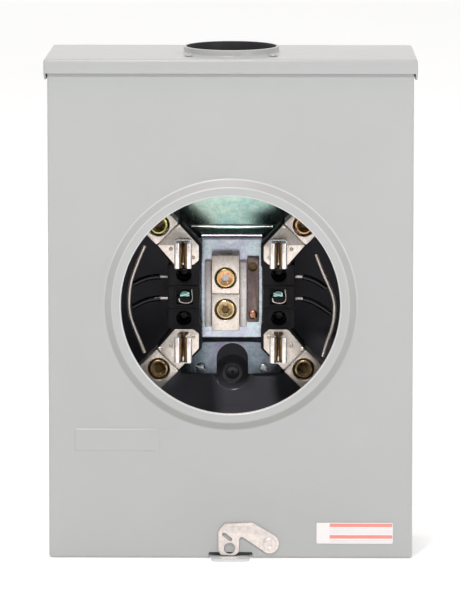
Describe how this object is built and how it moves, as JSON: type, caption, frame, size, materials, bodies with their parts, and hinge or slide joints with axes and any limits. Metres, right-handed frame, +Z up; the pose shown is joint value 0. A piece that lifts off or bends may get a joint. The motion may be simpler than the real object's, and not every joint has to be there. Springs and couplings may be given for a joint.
{
  "type": "meter socket enclosure",
  "caption": "Wall-mounted sheet-steel box with a round meter opening, plug-in jaws and wire lugs inside, a hub opening on top, and a tilting front cover held by a swinging latch.",
  "frame": {"origin": "a point on the flat outer face of the back panel, on its centre line; the wall is 5 mm behind it, where the two mounting dishes rest", "axes": "+X to the right as seen from in front, +Y into the wall, +Z up; the cover faces -Y"},
  "size_m": [0.2852, 0.125, 0.3913],
  "materials": {
    "grey_paint": "satin light grey powder coat",
    "zinc_plate": "zinc plate with a faint blue and purple passivate",
    "tin_plate": "warm tin plate",
    "brass_chromate": "yellow iridescent chromate",
    "copper_alloy": "dull brown copper",
    "nickel_plate": "warm nickel plate",
    "steel_rod": "bright drawn rod",
    "black_phenolic": "moulded black, low gloss",
    "black_sleeve": "glossy black sleeve",
    "label_stock": "matt label stock with plain bands"
  },
  "bodies": {
    "enclosure": {"back_and_sides": "grey_paint", "top_cap": "grey_paint", "bottom_wall": "grey_paint", "padlock_tab": "grey_paint", "back_knockout": "grey_paint", "bottom_knockout_center": "grey_paint", "bottom_knockout_left": "grey_paint", "bottom_knockout_right": "grey_paint", "side_knockout_left": "grey_paint", "side_knockout_right": "grey_paint", "hub_screw_1": "zinc_plate", "hub_screw_2": "zinc_plate", "hub_screw_3": "zinc_plate", "hub_screw_4": "zinc_plate", "support_bracket": "zinc_plate", "bracket_screw_1": "zinc_plate", "bracket_screw_2": "zinc_plate", "bracket_screw_3": "zinc_plate", "bracket_screw_4": "zinc_plate", "block_screw_upper_left": "zinc_plate", "block_screw_upper_right": "zinc_plate", "block_screw_lower_left": "zinc_plate", "block_screw_lower_right": "zinc_plate", "tap_screw_left": "zinc_plate", "tap_screw_right": "zinc_plate", "jaw_clip_upper_left": "zinc_plate", "jaw_clip_upper_right": "zinc_plate", "jaw_clip_lower_left": "zinc_plate", "jaw_clip_lower_right": "zinc_plate", "terminal_upper_left": "tin_plate", "terminal_upper_right": "tin_plate", "terminal_lower_left": "tin_plate", "terminal_lower_right": "tin_plate", "neutral_terminal": "tin_plate", "bond_bar": "copper_alloy", "bond_screw": "copper_alloy", "jaw_upper_left": "nickel_plate", "jaw_upper_right": "nickel_plate", "jaw_lower_left": "nickel_plate", "jaw_lower_right": "nickel_plate", "guide_bail_left": "steel_rod", "guide_bail_right": "steel_rod", "insulator_block_left": "black_phenolic", "insulator_block_right": "black_phenolic", "bail_arm_upper_left": "black_sleeve", "bail_arm_upper_right": "black_sleeve", "bail_arm_lower_left": "black_sleeve", "bail_arm_lower_right": "black_sleeve"},
    "upper_left_lug_screw": {"lug_screw_upper_left": "brass_chromate"},
    "upper_right_lug_screw": {"lug_screw_upper_right": "brass_chromate"},
    "lower_left_lug_screw": {"lug_screw_lower_left": "brass_chromate"},
    "lower_right_lug_screw": {"lug_screw_lower_right": "brass_chromate"},
    "upper_neutral_screw": {"neutral_screw_upper": "brass_chromate"},
    "lower_neutral_screw": {"neutral_screw_lower": "brass_chromate"},
    "cover": {"front_cover": "grey_paint", "rating_label": "label_stock", "latch_rivet": "nickel_plate"},
    "latch_hasp": {"latch": "nickel_plate"}
  },
  "joints": [
    {"name": "cover_tilt", "type": "hinge", "parent": "enclosure", "child": "cover", "pos_m": [0, -0.105, 0.1819], "axis": [-1, 0, 0], "range_deg": [0, 20]},
    {"name": "latch_swing", "type": "hinge", "parent": "cover", "child": "latch_hasp", "pos_m": [0.0299, -0.1063, -0.1815], "axis": [0, 1, 0], "range_deg": [0, 110]},
    {"name": "upper_left_lug_screw_travel", "type": "slide", "parent": "enclosure", "child": "upper_left_lug_screw", "axis": [0, 1, 0], "range_m": [-0.003, 0.008]},
    {"name": "upper_right_lug_screw_travel", "type": "slide", "parent": "enclosure", "child": "upper_right_lug_screw", "axis": [0, 1, 0], "range_m": [-0.003, 0.008]},
    {"name": "lower_left_lug_screw_travel", "type": "slide", "parent": "enclosure", "child": "lower_left_lug_screw", "axis": [0, 1, 0], "range_m": [-0.003, 0.008]},
    {"name": "lower_right_lug_screw_travel", "type": "slide", "parent": "enclosure", "child": "lower_right_lug_screw", "axis": [0, 1, 0], "range_m": [-0.003, 0.008]},
    {"name": "upper_neutral_screw_travel", "type": "slide", "parent": "enclosure", "child": "upper_neutral_screw", "axis": [0, 1, 0], "range_m": [-0.002, 0.004]},
    {"name": "lower_neutral_screw_travel", "type": "slide", "parent": "enclosure", "child": "lower_neutral_screw", "axis": [0, 1, 0], "range_m": [-0.002, 0.004]}
  ]
}
